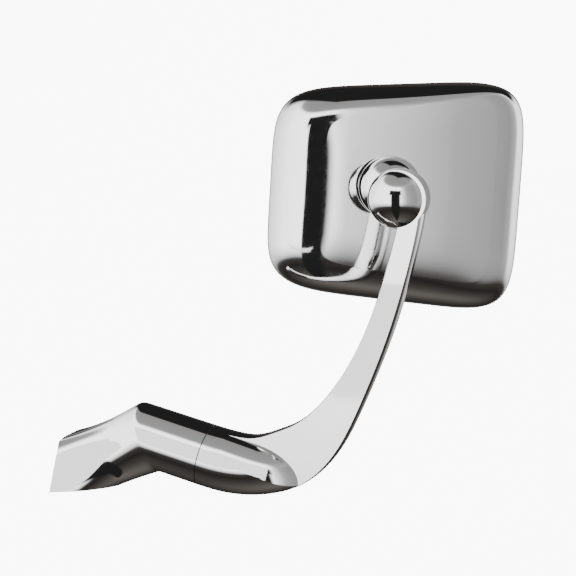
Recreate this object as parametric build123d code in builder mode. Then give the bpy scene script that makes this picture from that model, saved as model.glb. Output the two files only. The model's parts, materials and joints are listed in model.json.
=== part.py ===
from build123d import *
import os
from math import cos, radians, sin, sqrt, tan

# Chrome door mirror for the left side of a car: a cast foot, a fold-away arm and a ball-jointed head.
# +X points away from the car, -Y to the car's front and +Z up. The origin lies on the foot's
# mounting face, midway between the two screws that hold it to the door.

os.makedirs("parts", exist_ok=True)

# ---------------------------------------------------------------- driving dimensions (mm)
fit_gap = 0.02              # around a pressed or screwed-in piece
running_gap = 0.05          # around a turning shaft
ball_gap = 0.15             # between the nested spherical seats

# foot
pad_top = 12.0
pad_bottom = -11.9
pad_half_top = 14.0
pad_half_bottom = 25.4
gasket_thickness = 0.8
foot_wall = 2.8
pad_wall = 3.5
screw_spacing = 25.0
screw_minor_radius = 2.1
boss_radius = 4.4
boss_length = 8.0

# fold-away pivot between the foot and the arm
pivot_radius = 15.0
pivot_slope = 13.0          # degrees, falling away from the car
seam_centre = (72.0, 0.0, 7.0)
seam_gap = 0.5
mitre_distance = 29.9       # from the seam back to the knee
mitre_turn = 30.8           # degrees between the knee's plane and a square cut
stud_radius = 4.0
web_thickness = 9.0
spring_pocket_radius = 12.0
detent_circle = 11.0
detent_ball_radius = 1.5
detent_count = 3
ball_height = -0.2          # detent ball's centre, just inside the foot
pocket_depth = 1.8
ring_depth = 2.4
bush_radius = 5.5
insert_radius = 3.2
stud_reach = 22.0           # stud's length inside the arm

# arm
face_depth = 5.0            # flat front face, forward of the arm's middle
nose_length = 25.5
nose_start = 25.0
ball_centre = (166.0, 0.0, 134.0)
ball_radius = 13.7
hollow_radius = 10.35
cap_lip_radius = 8.8
cap_lip_back = 2.5
eye_back = 3.0              # eye's rear face, behind the arm's middle
eye_radius = 12.9
eye_place = (1.5, 0.3)      # eye's middle beside the ball's

# swivel joint: the head's place at rest
head_yaw = 30.0             # degrees, head turned outwards from straight ahead
head_roll = -3.5            # degrees, outer end low
opening_yaw = 25.0          # middle of the ball's rear opening
opening_half_angle = 29.0
bolt_radius = 2.5
saddle_outer = hollow_radius - ball_gap
saddle_inner = 7.8
slot_reach = 4.75           # half the saddle's slot
bolt_head_radius = saddle_inner - ball_gap
bolt_head_cut = 3.5         # bolt head's flat, behind the ball's centre
bolt_end = 46.0
saddle_rim_angle = 48.0
cup_centre = 22.0           # behind the ball's centre
cup_radius = 14.5
cup_gap = 0.25
cup_aside = 1.2             # the dome's middle, outboard of and above the bolt
cup_rise = 3.0
spigot_radius = 5.5
spigot_length = 3.8
cup_screw_circle = 9.5
cup_screw_radius = 1.25
cup_screw_reach = 5.0

# head
crest = 26.0                # shell's crest behind the ball's centre
shell_depth = 28.0
shell_wall = 1.2
crown_radius = 600.0
head_offset = 11.5          # middle of the head outboard of the ball
head_drop = -2.4
half_width = 61.0
half_height_inner = 47.1    # at the end nearest the car
half_height_outer = 57.4
corner_power = 5.5
crease_corner_power = 8.0
# how far each side has rolled in where it meets the crowned face
roll_inboard = 20.0
roll_outboard = 19.0
roll_top_inner = 15.5
roll_top_outer = 3.1
roll_bottom_inner = 17.7
roll_bottom_outer = 14.2
bezel_thickness = 1.4
bezel_width = 3.6
glass_inset = 2.4
plate_back = 30.0
plate_width = 52.0
plate_height = 40.0
post_spacing_x = 40.0
post_spacing_y = 28.0
post_screw_radius = 1.5
glass_thickness = 2.0
foam_thickness = 1.5
carrier_thickness = 1.6

# ---------------------------------------------------------------- planes and axes
slope_cos = cos(radians(pivot_slope))
slope_sin = sin(radians(pivot_slope))
# seam plane: its normal is the pivot axis, pointing outboard into the arm
seam = Plane(origin=seam_centre, x_dir=(0, 1, 0), z_dir=(slope_cos, 0, -slope_sin))
knee_tilt = radians(mitre_turn - pivot_slope)
knee = Plane(origin=seam.offset(-mitre_distance).origin, x_dir=(0, 1, 0), z_dir=(cos(knee_tilt), 0, sin(knee_tilt)))
# section through the pivot axis: local x runs along the axis, local y across it, upwards
pivot_section = Plane(origin=seam_centre, x_dir=seam.z_dir, z_dir=(0, -1, 0))
pad = Plane(origin=(0, 0, 0), x_dir=(0, 1, 0), z_dir=(1, 0, 0))
front = Plane(origin=ball_centre, x_dir=(1, 0, 0), z_dir=(0, -1, 0))

yaw = radians(head_yaw)
roll = radians(head_roll)
head_across = (cos(yaw) * cos(roll), sin(yaw) * cos(roll), sin(roll))
head = Plane(origin=ball_centre, x_dir=head_across, z_dir=(sin(yaw), -cos(yaw), 0))
level_head = Plane(origin=ball_centre, x_dir=(cos(yaw), sin(yaw), 0), z_dir=(sin(yaw), -cos(yaw), 0))
level_section = Plane(origin=ball_centre, x_dir=level_head.z_dir, z_dir=-level_head.y_dir)
opening_turn = radians(opening_yaw)
opening = Plane(origin=ball_centre, z_dir=(-sin(opening_turn), cos(opening_turn), 0))


def signed_power(value, power):
    """The value's size to a power, with its own sign."""
    size = abs(value) ** power
    return size if value >= 0 else -size


def rounded_section(plane, top, bottom, half_top, half_bottom, power):
    """Rounded four-sided section, standing up in the plane's local y, wider at one end."""
    count = 32
    middle = (top + bottom) / 2
    half = (top - bottom) / 2
    points = []
    for step in range(count):
        angle = radians(360 / count * step)
        across = signed_power(cos(angle), 2 / power)
        up = signed_power(sin(angle), 2 / power)
        width = (half_top + half_bottom) / 2 + (half_top - half_bottom) / 2 * up
        points.append((across * width, middle + half * up))
    with BuildSketch(plane) as section:
        with BuildLine():
            Spline(points, periodic=True)
        make_face()
    return section.sketch


def roll_in(height):
    """How far the shell's side has rolled in, 0 at the rim and 1 at the face."""
    share = 0.9
    return (1 - sqrt(1 - share * height * height)) / (1 - sqrt(1 - share))


def head_outline(level, inset, height):
    """Head outline, a crowned four-sided curve taller outboard, at a level behind the ball.

    The rim is at height 0 and the face at height 1, where the outline has rolled in
    by a different amount on each side.
    """
    count = 56
    power = corner_power + (crease_corner_power - corner_power) * roll_in(height)
    turn_in = roll_in(height)
    left = -half_width + inset + roll_inboard * turn_in
    right = half_width - inset - roll_outboard * turn_in
    top_inner = half_height_inner - inset - roll_top_inner * turn_in
    top_outer = half_height_outer - inset - roll_top_outer * turn_in
    bottom_inner = half_height_inner - inset - roll_bottom_inner * turn_in
    bottom_outer = half_height_outer - inset - roll_bottom_outer * turn_in
    points = []
    for step in range(count):
        angle = radians(360 / count * step)
        reach = (abs(cos(angle)) ** power + abs(sin(angle)) ** power) ** (-1 / power)
        across = (left + right) / 2 + (right - left) / 2 * reach * cos(angle)
        share = (across + half_width) / (2 * half_width)
        up = reach * sin(angle)
        if up >= 0:
            tall = top_inner + (top_outer - top_inner) * share
        else:
            tall = bottom_inner + (bottom_outer - bottom_inner) * share
        points.append((head_offset + across, head_drop + up * tall))
    with BuildSketch(head.offset(-level)) as outline:
        with BuildLine():
            Spline(points, periodic=True)
        make_face()
    return outline.sketch


def ring(name, plane, outer, inner, height):
    """Flat ring standing on a plane."""
    with BuildPart() as piece:
        with BuildSketch(plane):
            Circle(outer)
            if inner > 0:
                Circle(inner, mode=Mode.SUBTRACT)
        extrude(amount=height)
    finish(piece, name)


def coil(name, plane, radius, wire_radius, pitch, height):
    """Open-coiled compression spring standing on a plane."""
    with BuildPart() as piece:
        with BuildLine() as path:
            Helix(pitch, height, radius, center=plane.origin, direction=plane.z_dir)
        with BuildSketch(Plane(origin=path.wire() @ 0, z_dir=path.wire() % 0)):
            Circle(wire_radius)
        sweep(path=path.wire(), is_frenet=True)
    finish(piece, name)


def hex_nut(name, plane, across_flats, bore, height):
    """Hexagon nut standing on a plane, with its corners chamfered."""
    with BuildPart() as piece:
        with BuildSketch(plane):
            RegularPolygon(across_flats / 2, 6, major_radius=False)
            Circle(bore, mode=Mode.SUBTRACT)
        extrude(amount=height)
        with Locations(plane):
            Cone(across_flats * 0.62, across_flats * 0.5, height, align=(Align.CENTER, Align.CENTER, Align.MIN),
                 mode=Mode.INTERSECT)
    finish(piece, name)


def finish(piece, name):
    """Label a finished piece and write it to its own file."""
    piece.part.label = name
    export_step(piece.part, f"parts/{name}.step")


# ---------------------------------------------------------------- foot casting
sole_slope = 0.472          # the underside's rise towards the knee
virtual_bottom = pad_bottom - 13.3
pad_flare = (pad_half_bottom - pad_half_top) / (pad_top - pad_bottom)
wide_bottom = pad_half_bottom + pad_flare * 13.3
waist = 12.5                # a section a little way out from the door
waist_plane = pad.offset(waist)
knee_half = pivot_radius / cos(radians(mitre_turn))
knee_step = 0.12            # the flare stands this far inside the tube where they meet
knee_wall = 2.4

hollow_sections = [
    rounded_section(pad.offset(-1), pad_top - pad_wall, virtual_bottom + pad_wall,
                    pad_half_top - pad_wall, wide_bottom - pad_wall, 4),
    rounded_section(waist_plane, 15.4 - foot_wall, virtual_bottom + sole_slope * waist + foot_wall,
                    12.5 - foot_wall, 21.0 - foot_wall, 3),
    rounded_section(knee, knee_half - knee_wall, -knee_half + knee_wall,
                    pivot_radius - knee_wall, pivot_radius - knee_wall, 2)]
flare_sections = [
    rounded_section(pad, pad_top, virtual_bottom, pad_half_top, wide_bottom, 6),
    rounded_section(waist_plane, 15.4, virtual_bottom + sole_slope * waist, 12.5, 21.0, 3.5),
    rounded_section(knee, knee_half - knee_step, -knee_half + knee_step,
                    pivot_radius - knee_step, pivot_radius - knee_step, 2)]

with BuildPart() as foot_hollow:
    loft(hollow_sections)
    split(bisect_by=Plane(origin=(0, 0, pad_bottom + pad_wall), z_dir=(0, 0, 1)), keep=Keep.TOP)
    with BuildSketch(seam.offset(-web_thickness)):
        Circle(spring_pocket_radius)
    extrude(amount=-(35.0 - web_thickness))

with BuildPart() as flare:
    loft(flare_sections)
    split(bisect_by=Plane(origin=(0, 0, pad_bottom), z_dir=(0, 0, 1)), keep=Keep.TOP)

with BuildPart() as base_foot:
    with BuildSketch(seam):
        Circle(pivot_radius)
    extrude(amount=-50)
    split(bisect_by=knee, keep=Keep.TOP)
    add(flare.part)
    add(foot_hollow.part, mode=Mode.SUBTRACT)
    with BuildSketch(pad):
        with GridLocations(screw_spacing, 1, 2, 1):
            Circle(boss_radius)
    extrude(amount=boss_length)
    with BuildSketch(pad):
        with GridLocations(screw_spacing, 1, 2, 1):
            Circle(insert_radius + fit_gap)
    extrude(amount=boss_length, mode=Mode.SUBTRACT)
    # bore for the pivot bush, and blind pockets for the detent balls
    with BuildSketch(seam.offset(-web_thickness - 1)):
        Circle(bush_radius + fit_gap)
    extrude(amount=web_thickness + 2, mode=Mode.SUBTRACT)
    with BuildSketch(seam.offset(-pocket_depth)):
        with PolarLocations(detent_circle, detent_count):
            Circle(detent_ball_radius + running_gap)
    extrude(amount=pocket_depth + 1, mode=Mode.SUBTRACT)
finish(base_foot, "base_foot")

with BuildPart() as foot_gasket:
    with BuildSketch(pad.offset(-gasket_thickness)):
        with BuildLine():
            gasket_top = pad_top - 1.2
            gasket_bottom = pad_bottom + 1.0
            FilletPolyline((-22.5, gasket_bottom), (22.5, gasket_bottom), (12.6, gasket_top), (-12.6, gasket_top),
                           radius=2.5, close=True)
        make_face()
        with BuildSketch(mode=Mode.PRIVATE) as relief:
            SlotOverall(17, 8.5)
        with Locations((0, 0.5)):
            add(relief.sketch, mode=Mode.SUBTRACT)
        with GridLocations(screw_spacing, 1, 2, 1):
            Circle(screw_minor_radius + 0.7, mode=Mode.SUBTRACT)
    extrude(amount=gasket_thickness)
finish(foot_gasket, "foot_gasket")

with BuildPart() as thread_inserts:
    with BuildSketch(pad):
        with GridLocations(screw_spacing, 1, 2, 1):
            Circle(insert_radius)
            Circle(screw_minor_radius, mode=Mode.SUBTRACT)
    extrude(amount=boss_length)
finish(thread_inserts, "thread_inserts")

# ---------------------------------------------------------------- pivot pieces on the seam axis
ring("pivot_bush", seam.offset(-web_thickness), bush_radius, stud_radius + running_gap, web_thickness - 0.2)
ring("thrust_washer", seam.offset(-web_thickness - 1.2), 10.8, stud_radius + running_gap, 1.2 - fit_gap)
ring("seam_washer", seam.offset(fit_gap), pivot_radius - 0.7, 13.3, seam_gap - 2 * fit_gap)
coil("pivot_spring", seam.offset(-25.0), 8.2, 1.25, 3.4, 13.4)
ring("spring_cup", seam.offset(-27.6), 10.8, stud_radius + fit_gap, 1.3)
hex_nut("pivot_nut", seam.offset(-34.0), 13.0, stud_radius + fit_gap, 6.3)

with BuildPart() as detent_balls:
    with Locations(seam.offset(ball_height)):
        with PolarLocations(detent_circle, detent_count):
            Sphere(detent_ball_radius)
finish(detent_balls, "detent_balls")

with BuildPart() as pivot_stud:
    with BuildSketch(seam.offset(-35.5)):
        Circle(stud_radius)
    extrude(amount=35.5 + stud_reach)
    chamfer(pivot_stud.edges().filter_by(GeomType.CIRCLE), 0.6)
finish(pivot_stud, "pivot_stud")

with BuildPart() as detent_ring:
    with BuildSketch(seam.offset(seam_gap + fit_gap)):
        Circle(13.0)
        Circle(8.8, mode=Mode.SUBTRACT)
    extrude(amount=ring_depth)
    # running groove for the balls, with a deeper dimple at each resting place
    with BuildSketch(pivot_section):
        with Locations((ball_height, detent_circle)):
            Circle(detent_ball_radius + 0.2)
    revolve(axis=Axis(seam_centre, seam.z_dir), mode=Mode.SUBTRACT)
    with Locations(seam.offset(ball_height + 0.35)):
        with PolarLocations(detent_circle, detent_count * 2):
            Sphere(detent_ball_radius + 0.2, mode=Mode.SUBTRACT)
finish(detent_ring, "detent_ring")

# ---------------------------------------------------------------- arm
spine_points = [(72, 7.0), (98, 4.6), (125, 16.8), (140.7, 36.6), (158.1, 72.7), (169.7, 111.3), (173.3, 130.0)]
# along the spine: share of its length, half width in the arm's plane, half depth, squareness
stations = [(0, 15, 15, 2), (0.075, 14.9, 15, 2), (0.15, 14.4, 15, 2), (0.25, 14.1, 14.6, 2.1),
            (0.31, 12.6, 13.2, 2.2), (0.37, 10.8, 11.8, 2.3), (0.45, 8.7, 10.2, 2.4), (0.555, 6.9, 8.6, 2.5),
            (0.67, 6.1, 7.4, 2.6), (0.8, 5.8, 6.8, 2.7), (0.9, 5.7, 6.4, 2.8), (1, 5.6, 6.0, 2.8)]

with BuildLine() as spine:
    Spline([(x, 0, z) for x, z in spine_points], tangents=[seam.z_dir, (0.1, 0, 1)])
arm_sections = []
for share, wide, deep, power in stations:
    station = Plane(origin=spine.wire() @ share, x_dir=(0, 1, 0), z_dir=spine.wire() % share)
    arm_sections.append(rounded_section(station, wide, -wide, deep, deep, power))

with BuildPart() as nose:
    with BuildSketch(pivot_section):
        with BuildLine():
            nose_radius = pivot_radius + 0.3
            Polyline((nose_start, nose_radius), (-2, nose_radius), (-2, 0), (nose_start + nose_length, 0))
            EllipticalCenterArc((nose_start, 0), nose_length, nose_radius, 0, arc_size=90)
        make_face()
    revolve(axis=Axis(seam_centre, seam.z_dir))

with BuildPart() as front_waste:
    with BuildSketch(Plane.XZ.offset(face_depth)):
        with Locations((140, 60)):
            Rectangle(180, 240)
    extrude(amount=30)
    add(nose.part, mode=Mode.SUBTRACT)

opening_mouth = ball_radius * 1.2 * tan(radians(opening_half_angle))

with BuildPart() as upper_arm:
    loft(arm_sections)
    split(bisect_by=seam.offset(seam_gap), keep=Keep.TOP)
    with BuildSketch(front.offset(-eye_back)):
        with Locations(eye_place):
            Circle(eye_radius)
    extrude(amount=eye_back + face_depth)
    with Locations(ball_centre):
        Sphere(ball_radius)
    add(front_waste.part, mode=Mode.SUBTRACT)
    # the ball is hollow, open to the front for the cap and to the rear for the swivel bolt
    with Locations(ball_centre):
        Sphere(hollow_radius, mode=Mode.SUBTRACT)
    with BuildSketch(front):
        Circle(hollow_radius)
    extrude(amount=ball_radius, mode=Mode.SUBTRACT)
    with Locations(opening):
        Cone(0.01, opening_mouth, ball_radius * 1.2, align=(Align.CENTER, Align.CENTER, Align.MIN),
             mode=Mode.SUBTRACT)
    # seam end: bore for the stud and a seat for the detent ring
    with BuildSketch(seam):
        Circle(stud_radius + fit_gap)
    extrude(amount=stud_reach + fit_gap, mode=Mode.SUBTRACT)
    with BuildSketch(seam):
        Circle(13.0 + fit_gap)
        Circle(8.8 - fit_gap, mode=Mode.SUBTRACT)
    extrude(amount=seam_gap + ring_depth + 2 * fit_gap, mode=Mode.SUBTRACT)
finish(upper_arm, "upper_arm")

with BuildPart() as ball_cap:
    with Locations(ball_centre):
        Sphere(ball_radius)
    split(bisect_by=front.offset(face_depth), keep=Keep.TOP)
    with BuildSketch(front.offset(cap_lip_back)):
        Circle(hollow_radius - fit_gap)
    extrude(amount=face_depth - cap_lip_back + 1)
    with Locations(ball_centre):
        Sphere(cap_lip_radius + 2, mode=Mode.SUBTRACT)
    with BuildSketch(front.offset(cap_lip_back)):
        Circle(cap_lip_radius)
    extrude(amount=4, mode=Mode.SUBTRACT)
finish(ball_cap, "ball_cap")

# ---------------------------------------------------------------- swivel joint inside the ball
turning_axis = Axis(ball_centre, level_head.z_dir)

with BuildPart() as swivel_saddle:
    with BuildSketch(level_section):
        with BuildLine():
            rim = radians(90 - saddle_rim_angle)
            outer_rim = (-saddle_outer * sin(rim), saddle_outer * cos(rim))
            inner_rim = (-saddle_inner * sin(rim), saddle_inner * cos(rim))
            Line((-saddle_outer, 0), (-saddle_inner, 0))
            CenterArc((0, 0), saddle_inner, 180, -saddle_rim_angle)
            Line(inner_rim, outer_rim)
            CenterArc((0, 0), saddle_outer, 180, -saddle_rim_angle)
        make_face()
    revolve(axis=turning_axis)
    # upright slot in which the bolt tilts
    with BuildSketch(level_head):
        SlotOverall(2 * slot_reach, 2 * (bolt_radius + running_gap), rotation=90)
    extrude(amount=-ball_radius, mode=Mode.SUBTRACT)
finish(swivel_saddle, "swivel_saddle")

with BuildPart() as swivel_bolt:
    with Locations(ball_centre):
        Sphere(bolt_head_radius)
    split(bisect_by=head.offset(-bolt_head_cut), keep=Keep.BOTTOM)
    with BuildSketch(head.offset(-bolt_head_radius + 0.6)):
        Circle(bolt_radius)
    extrude(amount=-(bolt_end - bolt_head_radius + 0.6))
    # hexagon socket for the fitter's key
    with BuildSketch(head.offset(-bolt_head_cut)):
        RegularPolygon(2.0, 6, major_radius=False)
    extrude(amount=-2.5, mode=Mode.SUBTRACT)
finish(swivel_bolt, "swivel_bolt")

with BuildPart() as swivel_cup:
    with Locations(head.offset(-cup_centre).from_local_coords((cup_aside, cup_rise))):
        Sphere(cup_radius)
    split(bisect_by=head.offset(-crest), keep=Keep.TOP)
    with BuildSketch(head.offset(-crest)):
        Circle(spigot_radius)
    extrude(amount=-spigot_length)
    with Locations(ball_centre):
        Sphere(ball_radius + cup_gap, mode=Mode.SUBTRACT)
    with BuildSketch(head.offset(-ball_radius + 2)):
        Circle(bolt_radius + running_gap)
    extrude(amount=-30, mode=Mode.SUBTRACT)
    with BuildSketch(head.offset(-crest)):
        with PolarLocations(cup_screw_circle, 3, start_angle=90):
            Circle(cup_screw_radius + fit_gap)
    extrude(amount=cup_screw_reach + 0.5, mode=Mode.SUBTRACT)
finish(swivel_cup, "swivel_cup")

# ---------------------------------------------------------------- head shell and what it carries
rim_level = crest + shell_depth
shell_levels = [0, 0.3, 0.55, 0.75, 0.9, 1.04]


def head_body(inset, first_level):
    """Solid bounded by the shell's rolled sides and its crowned face, moved in by an inset."""
    sections = [head_outline(first_level, inset, 0)]
    for height in shell_levels[1:]:
        sections.append(head_outline(rim_level - (shell_depth - 0.8) * height, inset, height))
    with BuildPart() as body:
        loft(sections)
        with Locations(head.offset(-crest - crown_radius).origin):
            Sphere(crown_radius - inset, mode=Mode.INTERSECT)
    return body.part


outer_body = head_body(0, rim_level)
inner_body = head_body(shell_wall, rim_level + 1)

with BuildPart() as head_shell:
    add(outer_body)
    add(inner_body, mode=Mode.SUBTRACT)
    with BuildSketch(head.offset(-crest + 1)):
        Circle(spigot_radius + fit_gap)
        with PolarLocations(cup_screw_circle, 3, start_angle=90):
            Circle(cup_screw_radius + 0.1)
    extrude(amount=-5, mode=Mode.SUBTRACT)
finish(head_shell, "head_shell")

with BuildPart() as spring_plate:
    with BuildSketch(head.offset(-plate_back)):
        RectangleRounded(plate_width, plate_height, 6)
        Circle(spigot_radius + fit_gap, mode=Mode.SUBTRACT)
        with PolarLocations(cup_screw_circle, 3, start_angle=90):
            Circle(cup_screw_radius + 0.1, mode=Mode.SUBTRACT)
    extrude(amount=plate_back - crest)
    with Locations(head.offset(-crest - crown_radius).origin):
        Sphere(crown_radius - shell_wall - fit_gap, mode=Mode.INTERSECT)
finish(spring_plate, "spring_plate")

with BuildPart() as cup_screws:
    with BuildSketch(head.offset(-plate_back - 0.5)):
        with PolarLocations(cup_screw_circle, 3, start_angle=90):
            Circle(cup_screw_radius)
    extrude(amount=plate_back + 0.5 - crest + cup_screw_reach)
    with BuildSketch(head.offset(-plate_back - fit_gap)):
        with PolarLocations(cup_screw_circle, 3, start_angle=90):
            Circle(2.3)
    extrude(amount=-1.3)
    # cross recess in each head
    with BuildSketch(head.offset(-plate_back - 1.3 - fit_gap)):
        with PolarLocations(cup_screw_circle, 3, start_angle=90):
            Rectangle(2.6, 0.5)
            Rectangle(0.5, 2.6)
    extrude(amount=0.7, mode=Mode.SUBTRACT)
finish(cup_screws, "cup_screws")

coil("swivel_spring", head.offset(-39.8), 4.2, 0.8, 2.1, 8.6)
ring("spring_washer", head.offset(-42.0), 6.4, bolt_radius + fit_gap, 1.3)
hex_nut("tension_nut", head.offset(-45.5), 8.0, bolt_radius + fit_gap, 3.4)

# ---------------------------------------------------------------- glass and its holder, from the inside out
glass_back = rim_level - 0.8            # reflecting side, towards the driver
glass_front = glass_back - glass_thickness
foam_front = glass_front - foam_thickness
carrier_front = foam_front - carrier_thickness


with BuildPart() as mirror_glass:
    extrude(head_outline(glass_back, glass_inset, 0), amount=glass_thickness - fit_gap)
    chamfer(mirror_glass.faces().sort_by(Axis(ball_centre, head.z_dir))[0].edges(), 0.4)
finish(mirror_glass, "mirror_glass")

with BuildPart() as foam_pad:
    extrude(head_outline(glass_front, glass_inset + 3.0, 0), amount=foam_thickness - fit_gap)
finish(foam_pad, "foam_pad")

with BuildPart() as glass_carrier:
    extrude(head_outline(foam_front, glass_inset + 0.6, 0), amount=carrier_thickness)
    with BuildSketch(head.offset(-foam_front)):
        with GridLocations(post_spacing_x, post_spacing_y, 2, 2):
            Circle(post_screw_radius + 0.1)
    extrude(amount=carrier_thickness, mode=Mode.SUBTRACT)
    # countersinks for the screws, on the glass side
    with Locations(head.offset(-foam_front)):
        with GridLocations(post_spacing_x, post_spacing_y, 2, 2):
            Cone(2.6, post_screw_radius, 1.2, align=(Align.CENTER, Align.CENTER, Align.MIN), mode=Mode.SUBTRACT)
finish(glass_carrier, "glass_carrier")

with BuildPart() as carrier_posts:
    with BuildSketch(head.offset(-carrier_front + fit_gap)):
        with GridLocations(post_spacing_x, post_spacing_y, 2, 2):
            Circle(3.0)
            Circle(post_screw_radius + fit_gap, mode=Mode.SUBTRACT)
    extrude(amount=carrier_front - plate_back - 2 * fit_gap)
finish(carrier_posts, "carrier_posts")

with BuildPart() as carrier_screws:
    with BuildSketch(head.offset(-foam_front + fit_gap)):
        with GridLocations(post_spacing_x, post_spacing_y, 2, 2):
            Circle(post_screw_radius)
    extrude(amount=8)
    with Locations(head.offset(-foam_front + fit_gap)):
        with GridLocations(post_spacing_x, post_spacing_y, 2, 2):
            Cone(2.5, post_screw_radius, 1.1, align=(Align.CENTER, Align.CENTER, Align.MIN))
finish(carrier_screws, "carrier_screws")

# rubber channel round the glass, with a lip over its edge
with BuildPart() as glass_gasket:
    extrude(head_outline(rim_level - fit_gap, shell_wall + fit_gap, 0), amount=rim_level - carrier_front)
    extrude(head_outline(rim_level, glass_inset + 0.6 - fit_gap, 0), amount=rim_level - carrier_front + 1,
            mode=Mode.SUBTRACT)
    extrude(head_outline(glass_back + fit_gap, glass_inset - fit_gap, 0), amount=glass_thickness,
            mode=Mode.SUBTRACT)
finish(glass_gasket, "glass_gasket")

with BuildPart() as glass_bezel:
    extrude(head_outline(rim_level + bezel_thickness, 0, 0), amount=bezel_thickness - fit_gap)
    extrude(head_outline(rim_level + bezel_thickness + 1, bezel_width, 0), amount=bezel_thickness + 2,
            mode=Mode.SUBTRACT)
finish(glass_bezel, "glass_bezel")
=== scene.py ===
"""Studio model of a chrome door mirror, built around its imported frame.

Every length in a piece's own fields is in millimetres and is scaled by MM when a mesh is made.
"""

import json
import logging
import math
from dataclasses import dataclass
from enum import Enum
from typing import Callable, Sequence

import bmesh
import bpy
import numpy as np
from bmesh.types import BMesh, BMVert
from mathutils import Matrix, Vector


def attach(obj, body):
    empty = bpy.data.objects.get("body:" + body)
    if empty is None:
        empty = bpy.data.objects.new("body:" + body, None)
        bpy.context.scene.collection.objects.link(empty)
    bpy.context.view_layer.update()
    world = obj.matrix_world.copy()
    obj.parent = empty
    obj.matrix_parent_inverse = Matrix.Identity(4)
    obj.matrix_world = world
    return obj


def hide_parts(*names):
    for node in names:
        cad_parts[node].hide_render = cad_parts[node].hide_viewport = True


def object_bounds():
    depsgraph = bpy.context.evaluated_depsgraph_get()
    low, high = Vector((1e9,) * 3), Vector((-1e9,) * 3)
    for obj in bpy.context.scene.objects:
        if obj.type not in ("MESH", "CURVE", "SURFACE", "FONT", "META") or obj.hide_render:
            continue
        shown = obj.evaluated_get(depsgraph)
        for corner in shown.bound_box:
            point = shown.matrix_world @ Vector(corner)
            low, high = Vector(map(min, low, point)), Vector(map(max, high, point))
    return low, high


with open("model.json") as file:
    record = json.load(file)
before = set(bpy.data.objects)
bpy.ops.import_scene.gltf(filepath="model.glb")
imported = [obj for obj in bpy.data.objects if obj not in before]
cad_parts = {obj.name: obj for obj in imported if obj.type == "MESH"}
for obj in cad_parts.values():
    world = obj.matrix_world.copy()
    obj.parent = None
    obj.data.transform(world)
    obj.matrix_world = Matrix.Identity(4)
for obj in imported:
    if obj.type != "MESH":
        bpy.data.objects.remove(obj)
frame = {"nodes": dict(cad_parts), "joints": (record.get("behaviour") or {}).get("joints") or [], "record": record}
cad_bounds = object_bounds()
log = logging.getLogger("door_mirror")

MM = 0.001
FIT = 0.02
Place = Callable[[float], Vector]
Profile = Sequence[tuple[float, float]]


class Cut(Enum):
    """How one solid is combined with another."""

    JOIN = "UNION"
    REMOVE = "DIFFERENCE"


# ---------------------------------------------------------------- axes
@dataclass(frozen=True)
class Axes:
    """A local frame: an origin in metres and three unit directions."""

    origin: Vector
    across: Vector
    up: Vector
    out: Vector

    def at(self, across: float, up: float, out: float) -> Vector:
        """Point at a local place given in millimetres."""
        return self.origin + (self.across * across + self.up * up + self.out * out) * MM

    def matrix(self) -> Matrix:
        """Transform that stands a shape made about the origin on these axes."""
        turn = Matrix((self.across, self.up, self.out)).transposed().to_4x4()
        return Matrix.Translation(self.origin) @ turn

    def moved(self, out: float) -> "Axes":
        """The same axes, moved outwards by some millimetres."""
        return Axes(self.at(0, 0, out), self.across, self.up, self.out)


def axes_from(origin: Vector, across: Vector, out: Vector) -> Axes:
    """Axes with an outward direction and a direction across it.

    Args:
        origin: Where the axes stand, in metres.
        across: Roughly the direction across, which is made square to the outward one.
        out: The outward direction, of any length.

    Returns:
        The axes.
    """
    out = out.normalized()
    across = (across - out * across.dot(out)).normalized()
    return Axes(origin, across, out.cross(across), out)


def joint(name: str) -> dict:
    """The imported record's joint of that name."""
    return next(entry for entry in frame["joints"] if entry["name"] == name)


PIVOT = axes_from(Vector(joint("arm_fold")["pos_m"]), Vector((0, 1, 0)), Vector(joint("arm_fold")["axis"]))
BALL = Vector(joint("head_roll")["pos_m"])
FRONT = axes_from(BALL, Vector((1, 0, 0)), Vector((0, -1, 0)))
LEVEL_HEAD = axes_from(BALL, Vector(joint("head_tilt")["axis"]), Vector(joint("head_roll")["axis"]))
HEAD_ROLL = math.radians(-3.5)
HEAD = axes_from(
    BALL,
    LEVEL_HEAD.across * math.cos(HEAD_ROLL) + LEVEL_HEAD.up * math.sin(HEAD_ROLL),
    LEVEL_HEAD.out,
)
REAR = axes_from(BALL, HEAD.across, -HEAD.out)
PAD = axes_from(Vector((0, 0, 0)), Vector((0, 1, 0)), Vector((1, 0, 0)))


# ---------------------------------------------------------------- mesh making
def first_ring(mesh: BMesh, segments: int, place: Place) -> dict[BMVert, float]:
    """Starts a loft from a circle whose vertices are put in place by their angle.

    Args:
        mesh: The mesh to add to.
        segments: Number of vertices round the ring.
        place: Gives the point at an angle.

    Returns:
        Each vertex of the ring with its angle.
    """
    made = bmesh.ops.create_circle(mesh, cap_ends=False, radius=1.0, segments=segments)["verts"]
    ring = {vert: math.atan2(vert.co.y, vert.co.x) for vert in made}
    for vert, angle in ring.items():
        vert.co = place(angle)
    return ring


def next_ring(mesh: BMesh, ring: dict[BMVert, float], place: Place) -> dict[BMVert, float]:
    """Extrudes a ring and puts the new one in place.

    Args:
        mesh: The mesh that holds the ring.
        ring: The ring's vertices with their angles.
        place: Gives the new point at an angle.

    Returns:
        The new ring's vertices with their angles.
    """
    edges = {edge for vert in ring for edge in vert.link_edges if edge.other_vert(vert) in ring}
    made = bmesh.ops.extrude_edge_only(mesh, edges=list(edges))["geom"]
    grown = {}
    for vert in made:
        if not isinstance(vert, BMVert):
            continue
        for edge in vert.link_edges:
            old = edge.other_vert(vert)
            if old in ring:
                grown[vert] = ring[old]
    for vert, angle in grown.items():
        vert.co = place(angle)
    return grown


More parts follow.
